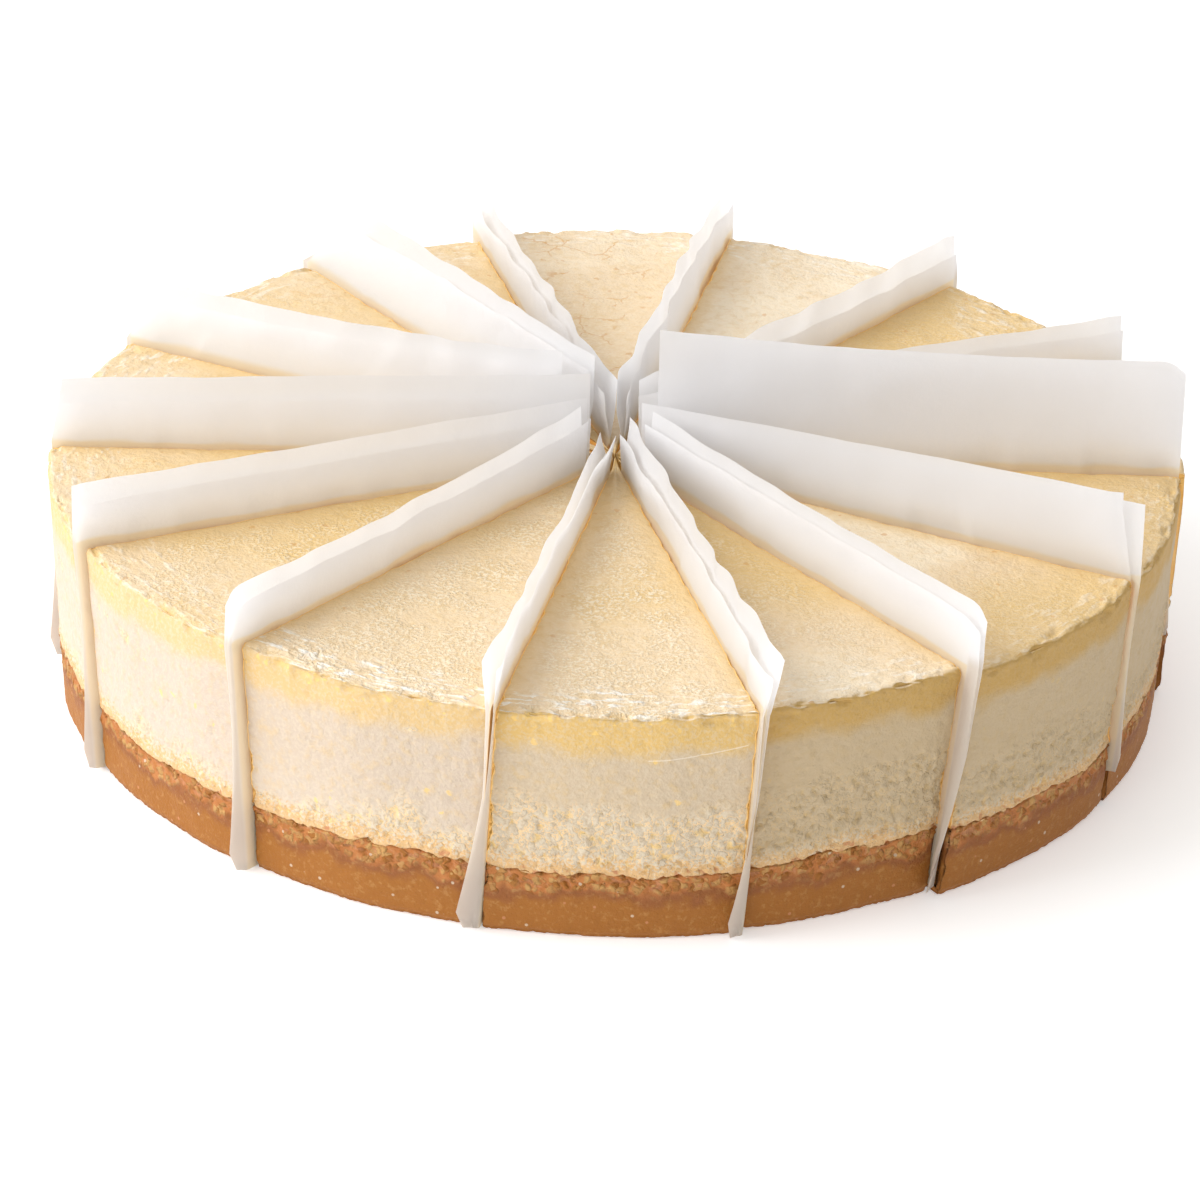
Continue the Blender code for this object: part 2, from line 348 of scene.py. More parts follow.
def row_normals(radii, heights):
    """Outward directions of a closed profile, as parts along the radius and up."""
    along_r = np.roll(radii, -1, axis=0) - np.roll(radii, 1, axis=0)
    along_z = np.roll(heights, -1, axis=0) - np.roll(heights, 1, axis=0)
    length = np.maximum(np.hypot(along_r, along_z), 1e-9)
    return -along_z / length, along_r / length


def to_points(angle, radius, z):
    return stacked(radius * np.cos(angle), radius * np.sin(angle), z)


def raggedness(edge, radius, z):
    """How far a cut face lies back from the cut, in mm, where crumbs broke away."""
    plane = stacked(radius, z, 31.7 * edge)
    scallops = layered_noise(plane / 3.1, 3, 41)
    crumb = 1.0 - smoothstep(30.0, 38.0, z)
    depth = (0.45 + 0.25 * crumb) * np.clip(0.15 + scallops, 0.0, 1.7)
    return depth * smoothstep(6.0, 20.0, radius)


def warped(flat, points, size, reach):
    """Flat places moved about by noise, so that round pits turn uneven."""
    moved = [layered_noise(points / size + 7.0 * axis, 2, 31) for axis in (1, 2)]
    return flat + reach * np.stack(moved, axis=-1)


# The first of the slices whose side is torn over the crumbly part, counted from 0
FIRST_TORN = 10


def filling_relief(index, angle, radius, z, run, up):
    """The filling's fine form.

    run is the distance in mm out over the top and down the side, 0 where the rim starts to round.
    Returns how far the surface stands out in mm, how deep its pits are, and how wrinkled and how crumbly
    it is, each from 0 to 1.
    """
    points = to_points(angle, radius, z)
    flat = warped(stacked(angle * TOP_RADIUS, run), points, 1.6, 0.55)
    side = 1.0 - smoothstep(0.2, 0.8, up)

    crumb_top = CRUMB_TOPS[index] + 5.0 * layered_noise(points / 15.0, 3, 3)
    crumb = side * (1.0 - smoothstep(crumb_top - 7.0, crumb_top + 4.0, z))
    tears = smoothstep(0.42, 0.75, layered_noise(points / np.array([11.0, 11.0, 6.0]), 3, 101))
    tears *= side * smoothstep(36.0, 41.0, z) * (1.0 - smoothstep(46.0, 50.0, z)) * (index >= FIRST_TORN)
    crumb = np.maximum(crumb, 0.85 * tears)
    lumps = np.abs(layered_noise(points / 2.3, 3, 7))
    holes = smoothstep(0.22, 0.75, layered_noise(points / 1.3, 2, 17))
    coarse = layered_noise(points / 6.0, 2, 19)
    crumb_relief = crumb * (0.65 * lumps - 0.38 - 0.5 * holes + 0.25 * coarse)

    smooth_relief = 0.14 * layered_noise(points / 7.0, 2, 13) - 0.10
    fine_pits = pits(flat / 1.9, 0.16, 23) * side * (1.0 - crumb)
    hollows = pits(flat / np.array([6.5, 3.2]) + 3.0, 0.5, 37)
    hollows *= smoothstep(-2.0, 0.0, run) * (1.0 - smoothstep(3.0, 5.5, run))
    torn = layered_noise(points / 3.2, 3, 103)
    torn = torn * smoothstep(-3.0, 0.5, run) * (1.0 - smoothstep(1.5, 4.5, run))

    width = 15.0 + 8.0 * layered_noise(points / 14.0, 2, 43)
    top = smoothstep(0.3, 0.8, up)
    wrinkled = top * smoothstep(-width, -width + 10.0, run) * WRINKLED[index]
    around = stacked(angle * TOP_RADIUS / 6.5, run / 1.7, index)
    folds = 1.0 - np.abs(layered_noise(around + 0.5 * coarse[..., None], 3, 47))
    folds = np.clip(folds, 0.0, 1.0) ** 2
    near_rim = smoothstep(-9.0, -1.0, run)
    wrinkle_relief = wrinkled * ((0.10 + 0.14 * near_rim) * folds - 0.16)
    top_pits = pits(points[..., :2] / 4.6, 0.10, 53) * top * (0.5 + 0.5 * wrinkled)

    relief = crumb_relief + smooth_relief * (1.0 - crumb)
    relief -= 0.28 * fine_pits + 0.8 * hollows + 0.35 * top_pits
    relief += wrinkle_relief + 0.55 * np.minimum(torn, 0.2)
    pit = np.clip(0.35 * fine_pits + 0.6 * hollows + 0.4 * top_pits, 0.0, 1.0)
    pit = np.maximum(pit, 0.75 * crumb * holes)
    return relief, pit, wrinkled * folds, crumb


def cavities(points, over_line):
    """Ragged hollows along the line where filling and crumb base meet, 0 to 1."""
    stretched = points / np.array([2.9, 2.9, 1.0])
    open_part = smoothstep(0.45, 0.85, layered_noise(stretched, 3, 61))
    return open_part * (1.0 - smoothstep(0.8, 2.6, np.abs(over_line + 1.8)))


def base_relief(angle, radius, z, over_line):
    """The crumb base's fine form: how far it stands out in mm, and how deep its pits are, 0 to 1."""
    points = to_points(angle, radius, z)
    rough = 1.0 - smoothstep(2.5, 6.5, -over_line)
    lumps = np.abs(layered_noise(points / 2.1, 3, 67))
    relief = rough * (0.75 * lumps - 0.45) + 0.10 * layered_noise(points / 2.5, 3, 73) - 0.08
    fringe = 1.0 - smoothstep(0.4, 1.8, z)
    relief += fringe * (0.4 * np.abs(layered_noise(points / 1.6, 2, 79)) - 0.2)
    return relief, rough * np.clip(0.8 - 3.0 * lumps, 0.0, 1.0)


# Meshes

# The lowest and highest corner of the solids, in m, that every piece stays within
CAD_BOX = []

# How far in mm the skin lies in at the cavities and at the cuts' edges, and how wide those edges round
CAVITY_DEPTH = 0.6
CUT_EDGE_DEPTH = 0.22
CUT_EDGE_WIDTH = 0.5

# Radius in mm past which a row that faces outwards is the cake's side, not the tip
SIDE_FROM = 60.0

# Depths in mm of the rings that lead from the skin into each cut face
RING_DEPTHS = (0.7, 2.2)

# Radii in mm between which the top's tint changes from the inner one to the rim's
TINT_FROM = 60.0
TINT_TO = 120.0

# A thin pale scratch on the front slice's side: its ends, its height in mm there and how far it climbs
HAIRLINE_FROM = radians(-86.0)
HAIRLINE_TO = radians(-76.0)
HAIRLINE_HEIGHT = 44.7
HAIRLINE_CLIMB = 2.9
FAR_FROM_HAIRLINE = 9.0


def grid_faces(rows, columns):
    """Quads of a grid of corners whose last row joins its first."""
    row = np.arange(rows)[:, None]
    column = np.arange(columns - 1)[None, :]
    here = row * columns + column
    below = (row + 1) % rows * columns + column
    return stacked(here, below, below + 1, here + 1).reshape(-1, 4)


def new_mesh_object(name, points, faces, attributes, material):
    """An object with these points in mm and values at its points, kept within the solids' box."""
    mesh = bpy.data.meshes.new(name)
    low, high = (np.array(corner) for corner in CAD_BOX)
    mesh.from_pydata(np.clip(points * MM, low, high), [], faces)
    mesh.validate()
    for key, values in attributes.items():
        attribute = mesh.attributes.new(key, "FLOAT", "POINT")
        attribute.data.foreach_set("value", np.asarray(values, dtype=np.float32).ravel())
    mesh.shade_smooth()
    mesh.materials.append(material)
    piece = bpy.data.objects.new(name, mesh)
    bpy.context.scene.collection.objects.link(piece)
    return piece


def placed(index, radius, z, share, ragged):
    """Points of a slice at these shares from cut to cut, clear of both cuts, more so where ragged."""
    first = cut_angle(index, z)
    last = cut_angle(index + 1, z)
    clear = []
    for edge in (2 * index, 2 * index + 1):
        back = SKIN_CLEARANCE * np.clip(radius / FULL_CLEARANCE_RADIUS, 0.1, 1.0)
        if ragged:
            back = back + raggedness(edge, radius, z)
        turned = np.arcsin(np.minimum(back / radius, 1.0))
        clear.append(np.minimum(turned, 0.49 * (last - first)))
    return to_points(first + clear[0] + share * (last - first - clear[0] - clear[1]), radius, z)


def height_over_hairline(angle, heights):
    """Heights in mm over the scratch, and far from 0 beyond its ends."""
    turned = np.clip((angle - HAIRLINE_FROM) / (HAIRLINE_TO - HAIRLINE_FROM), 0.0, 1.0)
    over = heights - HAIRLINE_HEIGHT - HAIRLINE_CLIMB * turned**1.6
    beyond = (angle < HAIRLINE_FROM) | (angle > HAIRLINE_TO)
    return over + FAR_FROM_HAIRLINE * np.where(over < 0.0, -1.0, 1.0) * beyond


def layer(kind, index, material):
    """The filling or the crumb base of one slice: a skin round its profile, and its two cut faces."""
    share = across_shares()
    profile = filling_profile if kind == "filling" else base_profile
    radii, heights = profile(index, share)
    rows, columns = radii.shape
    normal_r, normal_z = row_normals(radii, heights)
    first = cut_angle(index, heights)
    last = cut_angle(index + 1, heights)
    angle = first + share * (last - first)
    rim = outer_radius(index, angle, heights)
    run = radii - rim + ROUND_IN + np.maximum(0.0, HEIGHT - TOP_WAVE - heights)
    over_line = heights - crust_line(angle)
    if kind == "filling":
        relief, pit, wrinkle, crumb = filling_relief(index, angle, radii, heights, run, normal_z)
    else:
        relief, pit = base_relief(angle, radii, heights, over_line)
        wrinkle = crumb = 0.0 * pit
    at_line = (1.0 - smoothstep(0.2, 1.6, np.abs(over_line))) * smoothstep(0.0, 0.5, normal_r)
    relief = relief + (FLUSH - relief) * at_line
    cavity = cavities(to_points(angle, radii, heights), over_line)
    cavity *= smoothstep(-0.4, 0.2, normal_r)
    relief = relief - CAVITY_DEPTH * cavity

    outside = smoothstep(-0.3, 0.1, np.maximum(normal_r * (radii > SIDE_FROM), normal_z))
    from_cut = np.minimum(share, 1.0 - share) * radii * (last - first)
    relief = (relief - CUT_EDGE_DEPTH * np.exp(-from_cut / CUT_EDGE_WIDTH)) * outside
    if kind == "base":
        relief = np.minimum(relief, heights)
    radius = radii + relief * normal_r
    z = np.maximum(heights + relief * normal_z, 0.0)

    inner, outer = INNER_TINTS[index], RIM_TINTS[index]
    fields = {
        "scratch": height_over_hairline(angle, heights),
        "over_line": over_line,
        "pit": np.maximum(pit, cavity),
        "wrinkle": wrinkle,
        "crumb": crumb,
        "from_cut": from_cut + 3.0 * (1.0 - smoothstep(4.0, 14.0, radii)),
        "around": angle * TOP_RADIUS,
        "run": run,
        "tint": inner + (outer - inner) * smoothstep(TINT_FROM, TINT_TO, radii),
        "cracks": np.full_like(run, CRACKS[index]),
        "stippled": np.full_like(run, STIPPLED[index]),
        "shade": np.full_like(run, SIDE_SHADES[index]),
    }
    in_ring = {"pit": 0.15, "wrinkle": 0.0, "tint": outer, "cracks": 0.0, "stippled": 0.0}
    in_ring["scratch"] = FAR_FROM_HAIRLINE
    values = {key: [field.ravel()] for key, field in fields.items()}
    points = [placed(index, radius, z, share, ragged=True).reshape(-1, 3)]
    faces = [tuple(face) for face in grid_faces(rows, columns)]
    count = rows * columns
    for column, edge_share in ((0, 0.0), (columns - 1, 1.0)):
        loop = [row * columns + column for row in range(rows)]
        for depth in RING_DEPTHS:
            ring_r = radii[:, column] - depth * normal_r[:, column]
            ring_r = np.maximum(ring_r, radii[:, column].min() + 0.1 * depth)
            ring_z = heights[:, column] - depth * normal_z[:, column]
            points.append(placed(index, ring_r, ring_z, edge_share, ragged=False))
            in_ring["from_cut"] = 0.25 * (1.0 - smoothstep(3.0, 12.0, ring_r))
            for key, field in fields.items():
                values[key].append(np.broadcast_to(in_ring.get(key, field[:, column]), rows))
            ring = list(range(count, count + rows))
            count += rows
            for here in range(rows):
                there = (here + 1) % rows
                face = (loop[here], ring[here], ring[there], loop[there])
                faces.append(face if column else face[::-1])
            loop = ring
        outline = [Vector((ring_r[row], ring_z[row], 0.0)) for row in range(rows)]
        for triangle in tessellate_polygon([outline]):
            corners = tuple(loop[corner] for corner in triangle)
            faces.append(corners if column else corners[::-1])
    values = {key: np.concatenate(parts) for key, parts in values.items()}
    name = f"{kind}_skin_{index + 1:02d}"
    return new_mesh_object(name, np.concatenate(points), faces, values, material)


# Papers

# Columns along each paper, and levels from the foot, 0, over the cake's top, 1
PAPER_COLUMNS = 110
INSIDE_LEVELS = (0.0, 0.08, 0.16, 0.26, 0.38, 0.50, 0.62, 0.74, 0.86, 0.965, 0.985, 1.0)
ABOVE_LEVELS = 12

# In mm but for the turn: the foot's least height, how far a flap turns, how high it goes, and how much
# of the paper has to stand out for the full turn
LEAST_FOOT = 0.4
FLAP_TURN = radians(72.0)
FLAP_HEIGHT = 36.0
OVERHANG_TO_TURN = 1.6


def full_rise(paper, share):
    """How far in mm the higher leaf stands over the cake, along the paper."""
    low, middle, high = paper.rise_in, paper.rise_mid, paper.rise_out
    bend = 2 * (low + high - 2 * middle)
    rise = low + (high - low) * share + bend * share * (share - 1.0)
    lost = np.clip((share - CORNER_START) / (1.0 - CORNER_START), 0.0, 1.0)
    return rise - paper.corner * lost**2


def bent_line(share, seed):
    """An uneven zigzag between -1 and 1 along a paper, with its corners rounded a little."""
    knots = np.arange(BENDS + 1)
    cells = stacked(knots, 0)
    places = (knots + 0.8 * (scatter(cells, seed) - 0.5)) / BENDS
    values = np.where(knots % 2, 1.0, -1.0) * (0.15 + 0.85 * scatter(cells, seed + 1))
    offsets = np.linspace(-BEND_ROUNDING, BEND_ROUNDING, 5)
    return sum(np.interp(share + offset, places, values) for offset in offsets) / len(offsets)


def leaf_points(index, side, share, level):
    """One leaf, for shares of its length and levels from its foot, 0, over the cake's top, 1, to 2.

    Returns its points, how far they stand over the cake and how far they reach past its side, in mm.
    """
    paper = PAPERS[index]
    step = max(0.0, side * paper.step)
    high = full_rise(paper, share)
    foot = LEAST_FOOT + (paper.foot - LEAST_FOOT) * share
    above = np.clip(level - 1.0, 0.0, 1.0)
    edge = stacked(share * 7.0, 3.1 * index, side)
    top = high - step + 0.15 * layered_noise(edge, 2, 83)
    z = foot + (HEIGHT + OVER_TOP - foot) * np.minimum(level, 1.0) + (top - OVER_TOP) * above
    risen = np.maximum(0.0, z - HEIGHT - OVER_TOP) / high

    # How far out the leaf reaches
    rim_reach = max(paper.reach, LEAST_REACH)
    reach = FOOT_REACH + (rim_reach - FOOT_REACH) * np.minimum(1.0, z / HEIGHT)
    reach += (paper.reach - rim_reach) * risen
    splay = np.interp(z, SPLAY_HEIGHTS, SPLAY_SHARES)
    reach -= max(0.0, side * paper.short) * splay + 1.2 * np.sin(pi * np.minimum(1.0, z / HEIGHT))
    radius = paper.start + share * (reach - paper.start)

    # How far aside of the cut's middle it stands
    at_end = smoothstep(0.972, 1.0, share)
    spread_share = MIDDLE_SPREAD + (1.0 - MIDDLE_SPREAD) * smoothstep(0.80, 1.0, share)
    spread_share += (INNER_SPREAD - MIDDLE_SPREAD) * (1.0 - smoothstep(0.0, 0.2, share))
    along = stacked(share * 8.0, z / 60.0, 2.7 * index)
    swing = np.clip(1.6 * layered_noise(along, 2, 97), -1.0, 1.0)
    swing = swing * smoothstep(HEIGHT - 2.0, HEIGHT, z) * (1.0 - smoothstep(HEIGHT + 1.0, HEIGHT + 9.0, z))
    half_gap = HALF_GAP - (HALF_GAP - LEAST_HALF_GAP) * np.abs(swing)
    half_gap = np.interp(z, (0.0, 10.0), (0.5, 1.0)) * half_gap
    pressed = side * half_gap + SWING * swing + side * paper.spread / 2 * spread_share * risen
    loose = side * (END_GAP / 2 + paper.spread / 2 * splay)
    aside = pressed + (loose - pressed) * at_end
    leaning = share + 0.02 * (z - HEIGHT) / 10.0 * np.sin(9.0 * share + index)
    bend = 0.75 * bent_line(leaning, 7 * index + 200) + 0.45 * bent_line(leaning, 7 * index + 203 + side)
    aside += (paper.lean * share + paper.wave * bend) * risen**0.8

    crinkle_at = stacked(radius / 16.0, z / 13.0, 5.3 * index + 0.3 * side)
    crinkle = layered_noise(crinkle_at, 3, 89)
    aside += (0.18 + 0.30 * paper.wave) * crinkle * smoothstep(0.0, 0.5, risen)

    # Its outer end turned along the cake's side near the foot
    rim_radius = TOP_RADIUS + CUTS[(index - 1) % SLICES].reach
    side_radius = rim_radius - SIDE_TAPER * (1.0 - z / HEIGHT) + 0.4
    at_foot = 1.0 - smoothstep(-1.0, 4.0, z - foot)
    overhang = np.maximum(0.0, radius - side_radius) * (1.0 - 0.45 * at_foot)
    turned = paper.flap * FLAP_TURN * np.clip(1.0 - z / FLAP_HEIGHT, 0.0, 1.0)
    turning = turned * np.minimum(1.0, overhang / OVERHANG_TO_TURN)
    radius = np.where(overhang > 0, side_radius + overhang * np.cos(turning), radius)
    aside = aside - overhang * np.sin(turning)

    angle = cut_angle(index, z)
    x = radius * np.cos(angle) - aside * np.sin(angle)
    y = radius * np.sin(angle) + aside * np.cos(angle)
    return stacked(x, y, z), risen * high, overhang


def paper_sheet(index, material):
    """One sheet: down one leaf from its top to the fold at the foot, and up the other."""
    along = np.linspace(0.0, 1.0, PAPER_COLUMNS)
    along = along * (1.25 - 0.25 * along)
    levels = list(INSIDE_LEVELS) + list(1.0 + np.linspace(0.0, 1.0, ABOVE_LEVELS + 1)[1:])
    points, rises, outs = [], [], []
    for side, order in ((1, -1), (-1, 1)):
        for level in levels[::order]:
            point, rise, out = leaf_points(index, side, along, np.full_like(along, level))
            points.append(point)
            rises.append(rise)
            outs.append(out)
    rows = len(points)
    faces = [tuple(face) for face in grid_faces(rows, PAPER_COLUMNS)[: -(PAPER_COLUMNS - 1)]]
    values = {"rise": np.concatenate(rises), "out": np.concatenate(outs)}
    name = f"paper_sheet_{index + 1:02d}"
    return new_mesh_object(name, np.concatenate(points), faces, values, material)


# Node helpers


def new_material(name):
    material = bpy.data.materials.new(name)
    material.use_nodes = True
    material.cycles.emission_sampling = "NONE"
    return material, material.node_tree, material.node_tree.nodes["Principled BSDF"]


def set_inputs(tree, node, inputs):
    """Each input is a number, an (r, g, b) colour, or the output socket that feeds it."""
    for key, value in inputs.items():
        if isinstance(value, bpy.types.NodeSocket):
            tree.links.new(value, node.inputs[key])
        elif isinstance(value, tuple):
            node.inputs[key].default_value = (*value, 1.0)
        else:
            node.inputs[key].default_value = value


def add_node(tree, kind, inputs=None, **settings):
    node = tree.nodes.new(kind)
    for key, value in settings.items():
        setattr(node, key, value)
    set_inputs(tree, node, inputs or {})
    return node


def maths(tree, operation, *values):
    return add_node(tree, "ShaderNodeMath", dict(enumerate(values)), operation=operation).outputs[0]


def plus(tree, *values):
    return reduce(lambda first, second: maths(tree, "ADD", first, second), values)


def times(tree, *values):
    return reduce(lambda first, second: maths(tree, "MULTIPLY", first, second), values)


def flipped(tree, value):
    return maths(tree, "SUBTRACT", 1.0, value)


def swung(tree, texture, reach):
    """A texture's height over its middle, 0.5, times this reach."""
    return times(tree, maths(tree, "SUBTRACT", texture, 0.5), reach)


def ramp(tree, value, low, high, to_low=0.0, to_high=1.0, interpolation="SMOOTHSTEP"):
    """A value that runs from to_low where the given one is low to to_high where it is high."""
    inputs = {"Value": value, 1: low, 2: high, 3: to_low, 4: to_high}
    return add_node(tree, "ShaderNodeMapRange", inputs, interpolation_type=interpolation).outputs[0]


def mixed(tree, factor, first, second):
    """A colour between two colours, each an (r, g, b) tuple or a socket."""
    inputs = {0: factor, 6: first, 7: second}
    return add_node(tree, "ShaderNodeMix", inputs, data_type="RGBA").outputs[2]


def colour_ramp(tree, value, stops):
    """A colour from (place, colour) stops over the value's 0 to 1."""
    node = add_node(tree, "ShaderNodeValToRGB", {"Fac": value})
    elements = node.color_ramp.elements
    while len(elements) < len(stops):
        elements.new(0.5)
    for element, (place, colour) in zip(elements, stops):
        element.position = place
        element.color = (*colour, 1.0)
    return node.outputs["Color"]


def attribute(tree, name):
    return add_node(tree, "ShaderNodeAttribute", attribute_name=name).outputs["Fac"]


def part_of(tree, vector, axis):
    return add_node(tree, "ShaderNodeSeparateXYZ", {0: vector}).outputs[axis]


def scaled(tree, vector, scale):
    inputs = {0: vector, "Scale": scale}
    return add_node(tree, "ShaderNodeVectorMath", inputs, operation="SCALE").outputs[0]


def in_mm(tree):
    """The surface's own coordinates in mm."""
    return scaled(tree, add_node(tree, "ShaderNodeTexCoord").outputs["Object"], 1000.0)


def noise_texture(tree, place, scale, detail=2.0, roughness=0.5, output="Fac"):
    inputs = {"Vector": place, "Scale": scale, "Detail": detail, "Roughness": roughness}
    return add_node(tree, "ShaderNodeTexNoise", inputs).outputs[output]


def warped_place(tree, place, scale, reach):
    """Places moved about by up to this reach in mm, so that round forms turn uneven."""
    drift = noise_texture(tree, place, scale, 1.0, output="Color")
    moved = scaled(tree, drift, 2.0 * reach)
    return add_node(tree, "ShaderNodeVectorMath", {0: place, 1: moved}, operation="ADD").outputs[0]


def rounded_cells(tree, place, scale):
    """Distance from the middle of the cell at each place, and two values from 0 to 1 for each cell."""
    cells = add_node(tree, "ShaderNodeTexVoronoi", {"Vector": place, "Scale": scale})
    chosen = add_node(tree, "ShaderNodeSeparateColor", {0: cells.outputs["Color"]}).outputs
    return cells.outputs["Distance"], chosen[0], chosen[1]


def bumped(tree, height, strength, distance):
    inputs = {"Height": height, "Strength": strength, "Distance": distance}
    return add_node(tree, "ShaderNodeBump", inputs).outputs[0]


# Filling

CREAM = (0.62, 0.49, 0.335)
WHITE_CURD = (0.71, 0.605, 0.455)
CUSTARD = (0.73, 0.485, 0.17)
# Painted shade and painted light on the slices' sides: darker custard and cream where the side is turned
# from the light, paler cream where it faces the light
SHADED_CUSTARD = (0.50, 0.30, 0.08)
LIT_SIDE_CREAM = (0.61, 0.505, 0.425)
SHADED_CREAM = (0.53, 0.40, 0.23)
SKIN = (0.84, 0.645, 0.41)
SKIN_YELLOW = (0.80, 0.555, 0.235)
# Painted shade along the cuts, next to the papers
SKIN_CUT_SHADE = (0.84, 0.60, 0.29)
SKIN_PALE = (0.96, 0.82, 0.61)
SKIN_WHITE = (0.98, 0.92, 0.82)
# Painted glow and contact shadow at the cuts' edges
CUT_GLOW_AND_SHADOW = (0.88, 0.57, 0.20)
HOLE_YELLOW = (0.92, 0.63, 0.18)
CRACK_BROWN = (0.70, 0.38, 0.12)
PIT_GOLD = (0.93, 0.64, 0.22)
CRUMB_GOLD = (0.74, 0.44, 0.17)
# Painted golden shade in the crevices between curds
CREVICE_SHADE_GOLD = (0.88, 0.62, 0.32)
CAVITY = (0.58, 0.26, 0.12)

# Light scattered through the filling to its cut faces
GLOW = (1.0, 0.50, 0.10)
GLOW_STRENGTH = 0.26

# Heights in mm that the body's colours run between, how far they wander, and each colour's share of them
BODY_FROM = 16.0
BODY_TO = 58.0
BODY_WANDER = 9.0
BODY_STOPS = ((0.0, WHITE_CURD), (0.40, CREAM), (0.69, CREAM), (0.78, CUSTARD), (1.0, CUSTARD))

# Heights in mm between which the baked skin of the top begins
SKIN_FROM = 52.5
SKIN_TO = 54.0

# Sizes of the filling's textures, as features per mm
DRIFT_SCALE = 0.09
SKIN_DRIFT_SCALE = 0.045
STIPPLE_SCALE = 1.25
DIMPLE_SCALE = 0.45
STREAK_SCALE = 0.16
HOLE_SCALE = 0.62
CRACK_SCALE = 0.11

# How much longer than wide the streaks along the wrinkles are
STREAK_STRETCH = 3.5

# How much the top's yellow varies within one slice
YELLOW_WANDER = 1.2

# Share of the cells that hold a hole: everywhere, and where the top is most cracked
HOLED = 0.012
HOLED_IN_CRACKS = 0.05


def filling_textures(tree):
    """The textures, and the shares from 0 to 1, that several parts of the filling's look use."""
    place = in_mm(tree)
    height = part_of(tree, place, "Z")
    up = part_of(tree, add_node(tree, "ShaderNodeNewGeometry").outputs["Normal"], "Z")
    from_cut = attribute(tree, "from_cut")
    run = attribute(tree, "run")
    drift = noise_texture(tree, place, DRIFT_SCALE)
    dimples = noise_texture(tree, place, DIMPLE_SCALE, 3.0, 0.55)
    level = plus(tree, height, swung(tree, drift, BODY_WANDER))
    off_cut = ramp(tree, from_cut, 1.5, 9.0, 0.1, 1.0)
    off_drift = ramp(tree, drift, 0.35, 0.55, 0.25, 1.0)
    along = {0: attribute(tree, "around"), 1: times(tree, run, STREAK_STRETCH)}
    along = add_node(tree, "ShaderNodeCombineXYZ", along).outputs[0]
    crumbly = plus(tree, attribute(tree, "crumb"), times(tree, dimples, 0.6))
    return SimpleNamespace(
        place=place,
        warped=warped_place(tree, place, 0.6, 0.9),
        share=ramp(tree, level, BODY_FROM, BODY_TO, interpolation="LINEAR"),
        on_top=times(tree, ramp(tree, up, 0.55, 0.9), ramp(tree, height, SKIN_FROM, SKIN_TO)),
        drift=drift,
        dimples=dimples,
        ridge=maths(tree, "ABSOLUTE", maths(tree, "SUBTRACT", dimples, 0.5)),
        stipple=noise_texture(tree, place, STIPPLE_SCALE, 2.0, 0.6),
        streaks=noise_texture(tree, along, STREAK_SCALE, 3.0, 0.55),
        stippled=times(tree, off_cut, off_drift, attribute(tree, "stippled")),
        crumbly=ramp(tree, crumbly, 0.45, 1.1),
        run=run,
        from_cut=from_cut,
        shade=attribute(tree, "shade"),
        wrinkle=attribute(tree, "wrinkle"),
        cracks=attribute(tree, "cracks"),
        pit=attribute(tree, "pit"),
    )


def body_colour(tree, look):
    """White curd low down, cream over it and custard yellow at the rim, all paler as painted light on the
    slices whose side faces the light.
    """
    body = colour_ramp(tree, look.share, BODY_STOPS)
    # Painted light: the sides of the slices that face the light turn paler cream
    painted_light = ramp(tree, look.shade, 0.0, -0.9, 0.0, 0.8)
    painted_light = times(tree, painted_light, ramp(tree, look.share, 0.64, 0.84, 1.0, 0.35))
    return mixed(tree, painted_light, body, LIT_SIDE_CREAM)


def skin_colour(tree, look):
    """The baked top: yellow and pale areas, slice 3's pale top a painted reflection; painted shade by the
    cuts; pale stipple and white flakes, both partly painted highlights; and brown cracks.
    """
    skin_drift = noise_texture(tree, look.place, SKIN_DRIFT_SCALE)
    yellowed = plus(tree, attribute(tree, "tint"), swung(tree, skin_drift, YELLOW_WANDER))
    skin = mixed(tree, ramp(tree, yellowed, 0.0, 1.0), SKIN, SKIN_YELLOW)
    # Below 0 the top turns pale; on slice 3 this is a painted reflection
    skin = mixed(tree, ramp(tree, yellowed, 0.0, -0.6, 0.0, 0.8), skin, SKIN_PALE)
    # Painted shade: a darker band on the top along the cuts, next to the papers
    skin = mixed(tree, ramp(tree, look.from_cut, 0.5, 6.0, 0.6, 0.0), skin, SKIN_CUT_SHADE)
    # Pale stipple dots: partly the skin's own texture, partly painted highlights on its bumps
    stipple_and_glints = times(tree, look.stippled, ramp(tree, look.stipple, 0.47, 0.60, 0.0, 0.9))
    skin = mixed(tree, stipple_and_glints, skin, SKIN_PALE)
    # White streaks along the wrinkles: partly pale dried skin, partly painted highlights
    flakes_and_highlights = times(tree, look.wrinkle, ramp(tree, look.streaks, 0.515, 0.555), 1.6)
    skin = mixed(tree, flakes_and_highlights, skin, SKIN_WHITE)
    inputs = {"Vector": look.warped, "Scale": CRACK_SCALE}
    cells = add_node(tree, "ShaderNodeTexVoronoi", inputs, feature="DISTANCE_TO_EDGE")
    crack = ramp(tree, cells.outputs["Distance"], 0.035, 0.008)
    crack = times(tree, crack, look.cracks, ramp(tree, look.drift, 0.48, 0.58), 0.7)
    return mixed(tree, crack, skin, CRACK_BROWN)


